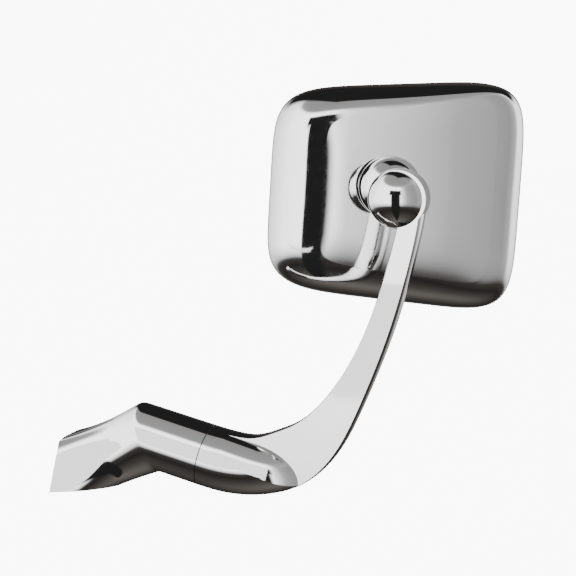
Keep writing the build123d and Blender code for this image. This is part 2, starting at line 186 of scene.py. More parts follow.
def loft(places: Sequence[Place], segments: int, closed: bool = False) -> BMesh:
    """Skin through a row of rings.

    Args:
        places: One function for each ring, from angle to point.
        segments: Number of vertices round each ring.
        closed: Whether the last ring joins the first, as round a hoop, or both are filled.

    Returns:
        The finished mesh, with its faces pointing outwards.
    """
    mesh = bmesh.new()
    ring = first_ring(mesh, segments, places[0])
    for place in places[1:]:
        ring = next_ring(mesh, ring, place)
    loose = [edge for edge in mesh.edges if edge.is_boundary]
    if closed:
        bmesh.ops.bridge_loops(mesh, edges=loose)
    else:
        bmesh.ops.holes_fill(mesh, edges=loose, sides=0)
    bmesh.ops.recalc_face_normals(mesh, faces=mesh.faces)
    return mesh


def lathe(axes: Axes, profile: Profile, segments: int = 96, into: BMesh | None = None) -> BMesh:
    """Turns a closed profile about an outward axis.

    Args:
        axes: The axes to turn about.
        profile: Pairs of distance along the axis and radius, in millimetres.
        segments: Steps in a full turn.
        into: A mesh to add the shape to, or None for a new one.

    Returns:
        The mesh, with its seam and poles merged.
    """
    mesh = into or bmesh.new()
    verts = [mesh.verts.new(axes.at(radius, 0, along)) for along, radius in profile]
    edges = [mesh.edges.new(pair) for pair in zip(verts, verts[1:])]
    if profile[0][1] > 0 or profile[-1][1] > 0:
        edges.append(mesh.edges.new((verts[-1], verts[0])))
    bmesh.ops.spin(
        mesh,
        geom=verts + edges,
        cent=axes.origin,
        axis=axes.out,
        angle=math.tau,
        steps=segments,
        use_merge=True,
    )
    bmesh.ops.remove_doubles(mesh, verts=mesh.verts, dist=1e-6)
    bmesh.ops.recalc_face_normals(mesh, faces=mesh.faces)
    return mesh


def arc(radius: float, start: float, end: float, steps: int) -> list[tuple[float, float]]:
    """Points of an arc about the origin, for a profile.

    Args:
        radius: The arc's radius in millimetres.
        start: Its first angle from the axis, in degrees.
        end: Its last angle.
        steps: How many pieces it is divided into.

    Returns:
        Pairs of distance along the axis and radius.
    """
    turns = [math.radians(start + (end - start) * step / steps) for step in range(steps + 1)]
    return [(radius * math.cos(turn), max(radius * math.sin(turn), 0.0)) for turn in turns]


def rod(radius: float, start: float, end: float) -> Profile:
    """Profile of a plain round rod between two places on the axis."""
    return [(start, 0), (start, radius), (end, radius), (end, 0)]


def block(axes: Axes, size: tuple[float, float, float]) -> BMesh:
    """Box centred on axes, with its size across, up and out."""
    mesh = bmesh.new()
    scale = Matrix.Diagonal((size[0] * MM, size[1] * MM, size[2] * MM, 1))
    bmesh.ops.create_cube(mesh, size=1.0, matrix=axes.matrix() @ scale)
    return mesh


def ball(middle: Vector, radius: float) -> BMesh:
    """Sphere of a radius in millimetres."""
    mesh = bmesh.new()
    bmesh.ops.create_uvsphere(
        mesh, u_segments=128, v_segments=72, radius=radius * MM, matrix=Matrix.Translation(middle)
    )
    return mesh


def slice_off(mesh: BMesh, point: Vector, normal: Vector) -> None:
    """Removes what lies beyond a plane and closes the cut.

    Args:
        mesh: The solid to cut.
        point: A point of the plane.
        normal: The plane's normal, on the side that goes.
    """
    geometry = list(mesh.verts) + list(mesh.edges) + list(mesh.faces)
    bmesh.ops.bisect_plane(mesh, geom=geometry, plane_co=point, plane_no=normal, clear_outer=True)
    loose = [edge for edge in mesh.edges if edge.is_boundary]
    bmesh.ops.holes_fill(mesh, edges=loose, sides=0)
    bmesh.ops.recalc_face_normals(mesh, faces=mesh.faces)


def to_object(name: str, mesh: BMesh) -> bpy.types.Object:
    """Turns a bmesh into an object at the origin and frees it."""
    data = bpy.data.meshes.new(name)
    mesh.to_mesh(data)
    mesh.free()
    piece = bpy.data.objects.new(name, data)
    bpy.context.scene.collection.objects.link(piece)
    return piece


def combine(piece: bpy.types.Object, mesh: BMesh, how: Cut) -> None:
    """Joins a solid to a piece or cuts it away.

    Args:
        piece: The object that is changed.
        mesh: The other solid, which is used up.
        how: Whether it is joined or removed.
    """
    tool = to_object("tool", mesh)
    modifier = piece.modifiers.new("combine", "BOOLEAN")
    modifier.operation = how.value
    modifier.solver = "EXACT"
    modifier.object = tool
    graph = bpy.context.evaluated_depsgraph_get()
    made = bpy.data.meshes.new_from_object(piece.evaluated_get(graph))
    piece.modifiers.clear()
    old = piece.data
    piece.data = made
    made.name = piece.name
    bpy.data.meshes.remove(old)
    bpy.data.objects.remove(tool)


def smooth(piece: bpy.types.Object, angle: float = 28.0, edge: float = 0.0) -> None:
    """Shades a piece smooth between its sharp edges, and may round those.

    Args:
        piece: The object to shade.
        angle: Edges that turn more than this many degrees stay sharp.
        edge: Width in millimetres of a small round on those edges, or 0.
    """
    piece.data.shade_smooth()
    piece.data.set_sharp_from_angle(angle=math.radians(angle))
    if edge > 0:
        bevel = piece.modifiers.new("edge_round", "BEVEL")
        bevel.limit_method = "ANGLE"
        bevel.angle_limit = math.radians(angle)
        bevel.width = edge * MM
        bevel.segments = 3
        bevel.profile = 0.5
        bevel.harden_normals = True
        bevel.use_clamp_overlap = True


# ---------------------------------------------------------------- finishes
@dataclass(frozen=True)
class Finish:
    """A surface finish with a slow colour change, patchy gloss and a fine surface."""

    name: str
    colour: tuple[float, float, float]
    second_colour: tuple[float, float, float]
    metallic: float
    gloss_roughness: float
    dull_roughness: float
    patch_scale: float
    grain_scale: float
    grain_height: float
    coat: float = 0.0

    def material(self) -> bpy.types.Material:
        """The node material, made once."""
        known = bpy.data.materials.get(self.name)
        return known if known else self.build()

    def build(self) -> bpy.types.Material:
        """Makes the node material.

        Returns:
            A Principled material whose colour, roughness and bump vary over the piece.
        """
        material = bpy.data.materials.new(self.name)
        material.use_nodes = True
        nodes, links = material.node_tree.nodes, material.node_tree.links
        shader = nodes["Principled BSDF"]
        shader.inputs["Metallic"].default_value = self.metallic
        shader.inputs["Coat Weight"].default_value = self.coat
        place = nodes.new("ShaderNodeTexCoord")

        patches = nodes.new("ShaderNodeTexNoise")
        patches.inputs["Scale"].default_value = self.patch_scale
        patches.inputs["Detail"].default_value = 6.0
        patches.inputs["Roughness"].default_value = 0.6
        links.new(place.outputs["Object"], patches.inputs["Vector"])
        grain = nodes.new("ShaderNodeTexNoise")
        grain.inputs["Scale"].default_value = self.grain_scale
        grain.inputs["Detail"].default_value = 4.0
        links.new(place.outputs["Object"], grain.inputs["Vector"])

        colour = nodes.new("ShaderNodeMix")
        colour.data_type = "RGBA"
        colour.inputs["A"].default_value = (*self.colour, 1)
        colour.inputs["B"].default_value = (*self.second_colour, 1)
        links.new(patches.outputs["Fac"], colour.inputs["Factor"])
        links.new(colour.outputs["Result"], shader.inputs["Base Color"])

        blend = nodes.new("ShaderNodeMath")
        blend.operation = "MULTIPLY"
        links.new(patches.outputs["Fac"], blend.inputs[0])
        links.new(grain.outputs["Fac"], blend.inputs[1])
        gloss = nodes.new("ShaderNodeMapRange")
        gloss.inputs["From Min"].default_value = 0.15
        gloss.inputs["From Max"].default_value = 0.45
        gloss.inputs["To Min"].default_value = self.gloss_roughness
        gloss.inputs["To Max"].default_value = self.dull_roughness
        links.new(blend.outputs["Value"], gloss.inputs["Value"])
        links.new(gloss.outputs["Result"], shader.inputs["Roughness"])

        bump = nodes.new("ShaderNodeBump")
        bump.inputs["Distance"].default_value = self.grain_height * MM
        bump.inputs["Strength"].default_value = 1.0
        links.new(grain.outputs["Fac"], bump.inputs["Height"])
        links.new(bump.outputs["Normal"], shader.inputs["Normal"])
        return material


CHROME_TINT = (0.83, 0.83, 0.84)
# name, colour, second colour, metallic, least and most roughness, patch and grain scale, grain height in mm
FINISHES = {
    "chrome_casting": Finish(
        "cast_chrome", CHROME_TINT, (0.75, 0.745, 0.74), 1.0, 0.035, 0.09, 55, 420, 0.0012
    ),
    "chrome_sheet": Finish(
        "sheet_chrome", CHROME_TINT, (0.76, 0.755, 0.75), 1.0, 0.05, 0.12, 38, 300, 0.0014
    ),
    "zinc_steel": Finish(
        "zinc_plate", (0.62, 0.61, 0.56), (0.5, 0.48, 0.42), 1.0, 0.22, 0.42, 160, 900, 0.004
    ),
    "hard_steel": Finish(
        "oiled_steel", (0.36, 0.36, 0.37), (0.24, 0.24, 0.25), 1.0, 0.2, 0.36, 200, 1100, 0.003
    ),
    "bronze": Finish(
        "bush_bronze", (0.66, 0.42, 0.2), (0.5, 0.3, 0.14), 1.0, 0.28, 0.45, 220, 1500, 0.006
    ),
    "rubber": Finish(
        "black_rubber", (0.022, 0.022, 0.023), (0.04, 0.039, 0.038), 0.0, 0.5, 0.72, 120, 2200, 0.02
    ),
    "nylon": Finish(
        "dark_nylon", (0.03, 0.03, 0.032), (0.05, 0.05, 0.05), 0.0, 0.35, 0.5, 150, 1200, 0.01
    ),
    "foam": Finish(
        "foam_tape", (0.05, 0.05, 0.05), (0.09, 0.09, 0.09), 0.0, 0.85, 0.97, 300, 3000, 0.08
    ),
    "carrier": Finish(
        "satin_paint", (0.03, 0.03, 0.033), (0.045, 0.045, 0.047), 0.0, 0.32, 0.45, 90, 1600, 0.008
    ),
    "mirror": Finish(
        "silvered_glass", (0.86, 0.89, 0.9), (0.84, 0.875, 0.885), 1.0, 0.004, 0.03, 26, 160, 0.0, coat=0.6
    ),
}


def dress(piece: bpy.types.Object, slot: str) -> None:
    """Gives a piece the finish of a material slot."""
    piece.data.materials.clear()
    piece.data.materials.append(FINISHES[slot].material())


def settle(piece: bpy.types.Object, body: str, slot: str, *nodes: str) -> None:
    """Dresses a piece, sets what it rides on and hides the frame's nodes that it stands in for.

    Args:
        piece: The finished object.
        body: The body that it moves with.
        slot: The record's material slot.
        nodes: The frame's nodes that it replaces.
    """
    dress(piece, slot)
    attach(piece, body)
    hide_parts(*nodes)
    log.info("%s rides on %s, %d faces", piece.name, body, len(piece.data.polygons))


# ---------------------------------------------------------------- sections
def signed_power(value: float, power: float) -> float:
    """A value's size to a power, with its own sign."""
    return math.copysign(abs(value) ** power, value)


def rounded_ring(
    axes: Axes, top: float, bottom: float, half_top: float, half_bottom: float, power: float
) -> Place:
    """Rounded four-sided ring, standing up in the axes and wider at one end.

    Args:
        axes: The ring's plane, across and up.
        top: Its highest place up.
        bottom: Its lowest place up.
        half_top: Half its width at the top.
        half_bottom: Half its width at the bottom.
        power: 2 for an ellipse, more for squarer corners.

    Returns:
        The function from angle to point.
    """
    middle, half = (top + bottom) / 2, (top - bottom) / 2

    def place(angle: float) -> Vector:
        """Point of the ring at an angle."""
        up = signed_power(math.sin(angle), 2 / power)
        width = (half_top + half_bottom) / 2 + (half_top - half_bottom) / 2 * up
        return axes.at(signed_power(math.cos(angle), 2 / power) * width, middle + half * up, 0)

    return place


def smooth_curve(
    knots: np.ndarray, values: np.ndarray, start: np.ndarray | None, end: np.ndarray | None
) -> Callable[[float], np.ndarray]:
    """Cubic curve through values, with its slope and its bend continuous.

    Args:
        knots: Rising parameter of each value.
        values: One row for each knot.
        start: Slope at the first knot, or None where its bend is zero.
        end: Slope at the last knot, or None where its bend is zero.

    Returns:
        The function from parameter to value.
    """
    count = len(knots)
    gaps = np.diff(knots)
    rows = np.zeros((count, count))
    sides = np.zeros_like(values)
    rise = np.diff(values, axis=0) / gaps[:, None]
    for i in range(1, count - 1):
        rows[i, i - 1 : i + 2] = gaps[i], 2 * (gaps[i - 1] + gaps[i]), gaps[i - 1]
        sides[i] = 3 * (gaps[i] * rise[i - 1] + gaps[i - 1] * rise[i])
    for i, slope, j, side in ((0, start, 1, 0), (count - 1, end, count - 2, -1)):
        rows[i, i] = 1 if slope is not None else 2
        rows[i, j] = 0 if slope is not None else 1
        sides[i] = slope if slope is not None else 3 * rise[side]
    slopes = np.linalg.solve(rows, sides)

    def value(t: float) -> np.ndarray:
        """The curve's value at a parameter."""
        i = int(np.clip(np.searchsorted(knots, t) - 1, 0, count - 2))
        s = (t - knots[i]) / gaps[i]
        held = (1 + 2 * s) * (1 - s) ** 2 * values[i] + s * s * (3 - 2 * s) * values[i + 1]
        return held + gaps[i] * (s * (1 - s) ** 2 * slopes[i] - s * s * (1 - s) * slopes[i + 1])

    return value


# ---------------------------------------------------------------- foot
@dataclass
class Foot:
    """Cast foot: a flared pad on the door that runs into the pivot tube."""

    pad_top: float = 12.0
    pad_bottom: float = -11.9
    half_top: float = 14.0
    half_bottom: float = 25.4
    sunk: float = 13.3
    sole_slope: float = 0.472
    waist: float = 12.5
    waist_top: float = 15.4
    waist_halves: tuple[float, float] = (12.5, 21.0)
    pad_power: float = 6.0
    waist_power: float = 3.5
    flare_length: float = 43.0
    knee_step: float = 0.05
    tube_radius: float = 15.0
    knee_distance: float = 29.9
    knee_turn: float = 30.8
    knee_softening: int = 4
    pad_wall: float = 3.5
    wall: float = 2.6
    web: float = 9.0
    pocket_radius: float = 12.0
    bush_radius: float = 5.52
    screw_spacing: float = 25.0
    insert_radius: float = 3.22
    boss_radius: float = 4.4
    boss_depth: float = 8.0

    def knee(self) -> Axes:
        """The slanted plane where the flare meets the tube."""
        slope = math.atan2(-PIVOT.out.z, PIVOT.out.x)
        tilt = math.radians(self.knee_turn) - slope
        origin = PIVOT.at(0, 0, -self.knee_distance)
        return axes_from(origin, Vector((0, 1, 0)), Vector((math.cos(tilt), 0, math.sin(tilt))))

    def flare_ring(self, share: float, inset: float) -> Place:
        """Ring of the flare between the door, at share 0, and the knee, at share 1.

        Args:
            share: How far along the flare.
            inset: How far inside the outer skin.

        Returns:
            The function from angle to point.
        """
        flare = (self.half_bottom - self.half_top) / (self.pad_top - self.pad_bottom)
        low = self.pad_bottom - self.sunk
        knee_half = self.tube_radius / math.cos(math.radians(self.knee_turn)) - self.knee_step
        radius = self.tube_radius - self.knee_step
        door = (self.pad_top, low, self.half_top, self.half_bottom + flare * self.sunk, self.pad_power)
        waist = (self.waist_top, low + self.sole_slope * self.waist, *self.waist_halves, self.waist_power)
        tube = (knee_half, -knee_half, radius, radius, 2.0)
        knee = self.knee()
        knots = (0.0, self.waist / self.flare_length, 1.0)
        weights = [
            math.prod((share - other) / (knot - other) for other in knots if other != knot) for knot in knots
        ]
        top, bottom, half_top, half_bottom, power = (
            sum(w * row[k] for w, row in zip(weights, (door, waist, tube))) for k in range(5)
        )
        origin = PAD.origin.lerp(knee.origin, share)
        origin.z = knee.origin.z * share * share
        axes = axes_from(origin, Vector((0, 1, 0)), PAD.out.lerp(knee.out, share * share))
        return rounded_ring(
            axes, top - inset, bottom + inset, half_top - inset, half_bottom - inset, max(power, 2.0)
        )

    def tube_ring(self, radius: float, along: float) -> Place:
        """Round ring of the tube, square to its axis."""
        return rounded_ring(PIVOT.moved(along), radius, -radius, radius, radius, 2.0)

    def outer_skin(self) -> BMesh:
        """The casting's outside, from the door to the seam, level along the pad's lower edge."""
        steps = 44
        knee_ring, seam_ring = self.flare_ring(1, 0), self.tube_ring(self.tube_radius, 0)

        def tube_step(share: float) -> Place:
            """Ring of the tube between the knee, at share 0, and the seam, at share 1."""
            return lambda angle: knee_ring(angle).lerp(seam_ring(angle), share)

        rings = [self.flare_ring(step / steps, 0) for step in range(steps + 1)]
        rings += [tube_step(step / steps) for step in range(1, steps + 1)]
        mesh = loft(rings, 160)
        knee = self.knee().origin
        out = self.knee().out
        for reach in (6, 4):
            near = [vert for vert in mesh.verts if abs((vert.co - knee).dot(out)) < reach * MM]
            for _ in range(self.knee_softening):
                bmesh.ops.smooth_vert(
                    mesh, verts=near, factor=0.5, use_axis_x=True, use_axis_y=True, use_axis_z=True
                )
        slice_off(mesh, Vector((0, 0, self.pad_bottom * MM)), Vector((0, 0, -1)))
        return mesh

    def hollow(self) -> BMesh:
        """The casting's inside, from in front of the door to the web behind the seam."""
        steps = 20
        thinner = self.wall - self.pad_wall
        walls = [self.pad_wall + thinner * min(3 * step / steps, 1) for step in range(steps + 1)]
        mouth = self.flare_ring(0, self.pad_wall)
        rings = [lambda angle: mouth(angle) - PAD.out * MM]
        rings += [self.flare_ring(step / steps, wall) for step, wall in enumerate(walls)]
        rings.append(self.tube_ring(self.pocket_radius, -self.web))
        mesh = loft(rings, 96)
        slice_off(mesh, Vector((0, 0, (self.pad_bottom + self.pad_wall) * MM)), Vector((0, 0, -1)))
        return mesh

    def build(self) -> None:
        """Makes the foot's casting and settles it on the base."""
        foot = to_object("foot_casting", self.outer_skin())
        combine(foot, self.hollow(), Cut.REMOVE)
        inner, outer, depth = self.insert_radius, self.boss_radius, self.boss_depth
        for side in (-1, 1):
            axes = axes_from(PAD.at(side * self.screw_spacing / 2, 0, 0), PAD.across, PAD.out)
            combine(foot, lathe(axes, [(0, inner), (0, outer), (depth, outer), (depth, inner)], 48), Cut.JOIN)
        combine(foot, lathe(PIVOT, rod(self.bush_radius, -self.web - 1, 1), 96), Cut.REMOVE)
        smooth(foot, 24, 0.45)
        settle(foot, "base", "chrome_casting", "base_foot")


# ---------------------------------------------------------------- arm
@dataclass
class Arm:
    """Cast arm: a round seam end with a blunt nose, a flat-faced blade and the hollow ball."""

    face_depth: float = 5.0
    seam_gap: float = 0.5
    nose_start: float = 25.0
    nose_length: float = 25.5
    nose_radius: float = 15.3
    ball_radius: float = 13.7
    hollow_radius: float = 10.35
    opening_yaw: float = 25.0
    opening_half_angle: float = 29.0
    eye_radius: float = 12.9
    eye_place: tuple[float, float] = (1.5, 0.3)
    eye_back: float = 3.0
    eye_front: float = 8.0
    opening_reach: float = 1.2
    stud_radius: float = 4.02
    stud_depth: float = 22.0
    detent_radii: tuple[float, float] = (8.78, 13.02)
    detent_depth: float = 2.94
    cap_hollow: float = 10.8
    cap_mouth: float = 8.8
    cap_seat: float = 10.33
    cap_back: float = 2.5
    spine_end: tuple[float, float] = (0.0995, 0.995)
    # places of the middle line, outwards and up from the door
    spine: tuple[tuple[float, float], ...] = (
        (72, 7.0), (98, 4.6), (125, 16.8), (140.7, 36.6), (158.1, 72.7), (169.7, 111.3), (173.3, 130.0),
    )
    # share of the length, half width, half depth and squareness of the section
    stations: tuple[tuple[float, float, float, float], ...] = (
        (0, 15, 15, 2), (0.075, 14.9, 15, 2), (0.15, 14.4, 15, 2), (0.25, 14.1, 14.6, 2.1),
        (0.31, 12.6, 13.2, 2.2), (0.37, 10.8, 11.8, 2.3), (0.45, 8.7, 10.2, 2.4), (0.555, 6.9, 8.6, 2.5),
        (0.67, 6.1, 7.4, 2.6), (0.8, 5.8, 6.8, 2.7), (0.9, 5.7, 6.4, 2.8), (1, 5.6, 6.0, 2.8),
    )

    def blade(self) -> BMesh:
        """The arm's body along its spine, before the flat face is cut."""
        points = np.array(self.spine, float)
        chords = np.concatenate(([0.0], np.cumsum(np.linalg.norm(np.diff(points, axis=0), axis=1))))
        start = np.array((PIVOT.out.x, PIVOT.out.z))
        line = smooth_curve(chords, points, start, np.array(self.spine_end))
        fine = np.linspace(0, chords[-1], 600)
        spots = np.array([line(t) for t in fine])
        lengths = np.concatenate(([0.0], np.cumsum(np.linalg.norm(np.diff(spots, axis=0), axis=1))))
        sizes = np.array(self.stations, float)
        size = smooth_curve(sizes[:, 0], sizes[:, 1:], None, None)
        rings = []
        for share in np.linspace(0, 1, 110):
            t = float(np.interp(share * lengths[-1], lengths, fine))
            spot, ahead = line(t), line(min(t + 0.05, chords[-1])) - line(max(t - 0.05, 0))
            axes = axes_from(
                Vector((spot[0] * MM, 0, spot[1] * MM)), Vector((0, 1, 0)), Vector((ahead[0], 0, ahead[1]))
            )
            wide, deep, power = size(share)
            rings.append(rounded_ring(axes, wide, -wide, deep, deep, max(power, 2.0)))
        mesh = loft(rings, 144)
        slice_off(mesh, PIVOT.at(0, 0, self.seam_gap), -PIVOT.out)
        return mesh

    def front_waste(self) -> BMesh:
        """What is cut away to leave the flat face: a slab with the blunt nose left standing."""
        middle = Vector((0.14, -0.02 - self.face_depth * MM, 0.07))
        waste = to_object("waste", block(axes_from(middle, FRONT.across, FRONT.out), (180, 260, 40)))
        nose = [(-2, 0), (-2, self.nose_radius), (self.nose_start, self.nose_radius)]
        for along, radius in arc(1, 90, 0, 36)[1:]:
            nose.append((self.nose_start + self.nose_length * along, self.nose_radius * radius))
        combine(waste, lathe(PIVOT, nose, 144), Cut.REMOVE)
        mesh = bmesh.new()
        mesh.from_mesh(waste.data)
        bpy.data.objects.remove(waste)
        return mesh

    def seam_bores(self) -> BMesh:
        """The stud's bore and the detent ring's seat."""
        mesh = lathe(PIVOT, rod(self.stud_radius, -1, self.stud_depth), 64)
        (inner, outer), depth = self.detent_radii, self.detent_depth
        return lathe(PIVOT, [(-1, inner), (-1, outer), (depth, outer), (depth, inner)], 96, mesh)

    def build(self) -> None:
        """Makes the arm's casting and settles it."""
        arm = to_object("arm_casting", self.blade())
        eye = axes_from(FRONT.at(*self.eye_place, 0), FRONT.across, FRONT.out)
        combine(arm, lathe(eye, rod(self.eye_radius, -self.eye_back, self.eye_front), 128), Cut.JOIN)
        combine(arm, ball(BALL, self.ball_radius), Cut.JOIN)
        combine(arm, self.front_waste(), Cut.REMOVE)
        combine(arm, ball(BALL, self.hollow_radius), Cut.REMOVE)
        combine(arm, lathe(FRONT, rod(self.hollow_radius, 0, 20)), Cut.REMOVE)
        turn = math.radians(self.opening_yaw)
        rear = axes_from(BALL, Vector((0, 0, 1)), Vector((-math.sin(turn), math.cos(turn), 0)))
        reach = self.ball_radius * self.opening_reach
        mouth = reach * math.tan(math.radians(self.opening_half_angle))
        combine(arm, lathe(rear, [(0, 0), (reach, mouth), (reach, 0)]), Cut.REMOVE)
        combine(arm, self.seam_bores(), Cut.REMOVE)
        smooth(arm, 26, 0.12)
        settle(arm, "arm", "chrome_casting", "upper_arm")

    def build_cap(self) -> None:
        """Makes the cap pressed into the ball's front."""
        depth, outer, inner = self.face_depth + FIT, self.ball_radius, self.cap_hollow
        profile = [(self.cap_back, self.cap_mouth), (self.cap_back, self.cap_seat), (depth, self.cap_seat)]
        profile += arc(outer, math.degrees(math.acos(depth / outer)), 0, 40)
        profile += arc(inner, 0, math.degrees(math.asin(self.cap_mouth / inner)), 20)
        cap = to_object("ball_front_cap", lathe(FRONT, profile, 128))
        smooth(cap, 30, 0.05)
        settle(cap, "arm", "chrome_casting", "ball_cap")


# ---------------------------------------------------------------- head
@dataclass
class Head:
    """Pressed shell, its bezel, the glass with its rubber, and the cup that sits on the ball."""

    crest: float = 26.0
    depth: float = 28.0
    wall: float = 1.2
    crown_radius: float = 600.0
    offset: float = 11.5
    drop: float = -2.4
    half_width: float = 61.0
    half_inner: float = 47.1
    half_outer: float = 57.4
    corner_power: float = 5.5
    crease_power: float = 8.0
    roll_sides: tuple[float, float] = (20.0, 19.0)
    roll_top: tuple[float, float] = (15.5, 3.1)
    roll_bottom: tuple[float, float] = (17.7, 14.2)
    soft_band: float = 0.5
    soft_drop: float = 0.9
    roll_power: float = 3.1
    facet: float = 0.18
    crease: float = 0.9
    segments: int = 224
    glass_inset: float = 2.4
    glass_thickness: float = 2.0
    bezel_width: float = 3.6
    dome_place: tuple[float, float] = (1.2, 3.0)
    dome_level: float = 22.0
    dome_radius: float = 14.5
    recess_radius: float = 13.95
    bolt_hole: float = 5.52
    spigot_radius: float = 5.5
    spigot_reach: float = 3.8
    shank_radius: float = 2.55
    shank_reach: tuple[float, float] = (8.0, 32.0)
    glass_edge: float = 0.4
    glass_recess: float = 0.8
    rubber_lip: float = 0.58
    rubber_depth: float = 3.1
    # the bezel's section: place from its outer or inner edge, and rise from the rim
    bezel_start: Profile = ((0, 0), (0, 0.55), (0.12, 0.9), (0.4, 1.2), (0.85, 1.36), (1.4, 1.38))
    bezel_end: Profile = ((1.4, 1.38), (0.7, 1.3), (0.25, 1.05), (0, 0.6), (0, 0))

    def rim(self) -> float:
        """The rim's level behind the ball."""
        return self.crest + self.depth

    def flat_place(self, angle: float, inset: float, turn_in: float) -> tuple[float, float]:
        """Place on the head's outline.

        Args:
            angle: Angle round the outline.
            inset: How far inside the outline.
            turn_in: 0 at the rim and 1 at the crease, where the side has rolled in.

        Returns:
            The place across and up, in millimetres.
        """
        left = -self.half_width + inset + self.roll_sides[0] * turn_in
        right = self.half_width - inset - self.roll_sides[1] * turn_in
        power = self.corner_power + (self.crease_power - self.corner_power) * turn_in
        reach = (abs(math.cos(angle)) ** power + abs(math.sin(angle)) ** power) ** (-1 / power)
        across = (left + right) / 2 + (right - left) / 2 * reach * math.cos(angle)
        share = (across + self.half_width) / (2 * self.half_width)
        up = reach * math.sin(angle)
        roll = self.roll_top if up >= 0 else self.roll_bottom
        inner, outer = self.half_inner - roll[0] * turn_in, self.half_outer - roll[1] * turn_in
        return self.offset + across, self.drop + up * (inner + (outer - inner) * share - inset)

    def crown(self, across: float, up: float) -> float:
        """The crowned face's level behind the ball."""
        return self.crest + self.crown_radius - math.sqrt(self.crown_radius**2 - across**2 - up**2)

    def side_height(self, turn_in: float) -> float:
        """Share of the side's height reached where it has turned in by a share of its width."""
        return (1 - self.facet) * math.sqrt(1 - (1 - turn_in) ** self.roll_power) + self.facet * turn_in

    def crease_level(self, angle: float) -> float:
        """Level behind the ball of the crease between the side and the crowned face."""
        return self.crown(*self.flat_place(angle, 0, 1)) + self.soft_drop

    def side_ring(self, turn_in: float) -> Place:
        """Ring of the rolled side, from the rim at turn_in 0 to the crease at 1."""

        def place(angle: float) -> Vector:
            """Point of the ring at an angle."""
            across, up = self.flat_place(angle, 0, turn_in)
            rise = (self.rim() - self.crease_level(angle)) * self.side_height(turn_in)
            return behind_ball(across, up, self.rim() - rise)

        return place

    def face_ring(self, share: float, hole: float) -> Place:
        """Ring of the crowned face, from the crease at share 0 to the cup's hole at share 1."""

        def place(angle: float) -> Vector:
            """Point of the ring at an angle."""
            across, up = self.flat_place(angle, 0, 1)
            turn = math.atan2(up, across)
            across += (hole * math.cos(turn) - across) * share
            up += (hole * math.sin(turn) - up) * share
            near_edge = max(1 - share / self.soft_band, 0.0)
            return behind_ball(across, up, self.crown(across, up) + self.soft_drop * near_edge**2)

        return place

    def ring(self, inset: float, level: float) -> Place:
        """Ring of the outline at the rim's size, moved in by an inset, at a level behind the ball."""

        def place(angle: float) -> Vector:
            """Point of the ring at an angle."""
            return behind_ball(*self.flat_place(angle, inset, 0), level)

        return place

    def build_shell(self) -> None:
        """Makes the pressed shell with its soft crease and its wall."""
        side_steps, face_steps = 36, 48
        mesh = bmesh.new()
        ring = first_ring(mesh, self.segments, self.side_ring(0))
        for step in range(1, side_steps + 1):
            ring = next_ring(mesh, ring, self.side_ring((step / side_steps) ** 1.8))
        crease = {edge for vert in ring for edge in vert.link_edges if edge.other_vert(vert) in ring}
        for step in range(1, face_steps + 1):
            ring = next_ring(mesh, ring, self.face_ring(step / face_steps, self.bolt_hole))
        bmesh.ops.bevel(
            mesh,
            geom=list(crease),
            offset=self.crease * MM,
            offset_type="OFFSET",
            affect="EDGES",
            segments=6,
            profile=0.5,
            material=-1,
            clamp_overlap=True,
        )
        bmesh.ops.recalc_face_normals(mesh, faces=mesh.faces)
        middle = HEAD.at(self.offset, self.drop, -self.rim())
        outward = sum(face.normal.dot(face.calc_center_median() - middle) for face in mesh.faces)
        if outward < 0:
            bmesh.ops.reverse_faces(mesh, faces=mesh.faces)
        shell = to_object("head_casing", mesh)
        wall = shell.modifiers.new("wall", "SOLIDIFY")
        wall.thickness = self.wall * MM
        wall.offset = -1.0
        wall.use_even_offset = True
        smooth(shell, 60)
        settle(shell, "head", "chrome_sheet", "head_shell")

    def build_bezel(self) -> None:
        """Makes the rolled bezel that holds the glass."""
        rim = self.rim() + FIT
        profile = [*self.bezel_start, *((self.bezel_width - inset, rise) for inset, rise in self.bezel_end)]
        mesh = loft([self.ring(inset, rim + rise) for inset, rise in profile], self.segments, closed=True)
        bezel = to_object("rim_bezel", mesh)
        smooth(bezel, 40)
        settle(bezel, "head", "chrome_sheet", "glass_bezel")

    def build_glass(self) -> None:
        """Makes the mirror glass with its ground edge, and the rubber channel round it."""
        back = self.rim() - self.glass_recess
        front = back - self.glass_thickness + FIT
        inset, edge = self.glass_inset, self.glass_edge
        levels = [(inset + edge, front), (inset, front + edge), (inset, back - edge), (inset + edge, back)]
        glass = to_object("mirror_plate", loft([self.ring(*place) for place in levels], self.segments))
        smooth(glass, 30)
        settle(glass, "head", "mirror", "mirror_glass")
        outer, inner, lip = self.wall + 2 * FIT, inset - FIT, inset + self.rubber_lip
        bottom, top = front - self.rubber_depth, self.rim() - 2 * FIT
        back, front = back + 2 * FIT, front - 2 * FIT
        section = [(outer, bottom), (outer, top), (lip, top), (lip, back)]
        section += [(inner, back), (inner, front), (lip, front), (lip, bottom)]
        mesh = loft([self.ring(*place) for place in section], self.segments, closed=True)
        rubber = to_object("glass_channel", mesh)
        smooth(rubber, 30)
        settle(rubber, "head", "rubber", "glass_gasket")

    def build_cup(self) -> None:
        """Makes the domed cup between ball and shell, its dome a little up and outboard of the bolt."""
        dome = axes_from(HEAD.at(*self.dome_place, -self.dome_level), REAR.across, REAR.out)
        foot = self.crest - self.dome_level
        end = math.degrees(math.acos(foot / self.dome_radius))
        cup = to_object("swivel_dome", lathe(dome, arc(self.dome_radius, 180, end, 72) + [(foot, 0)], 144))
        spigot = rod(self.spigot_radius, self.crest - 1, self.crest + self.spigot_reach)
        combine(cup, lathe(REAR, spigot, 64), Cut.JOIN)
        combine(cup, ball(BALL, self.recess_radius), Cut.REMOVE)
        combine(cup, lathe(REAR, rod(self.shank_radius, *self.shank_reach), 48), Cut.REMOVE)
        smooth(cup, 30, 0.25)
        settle(cup, "head", "chrome_casting", "swivel_cup")

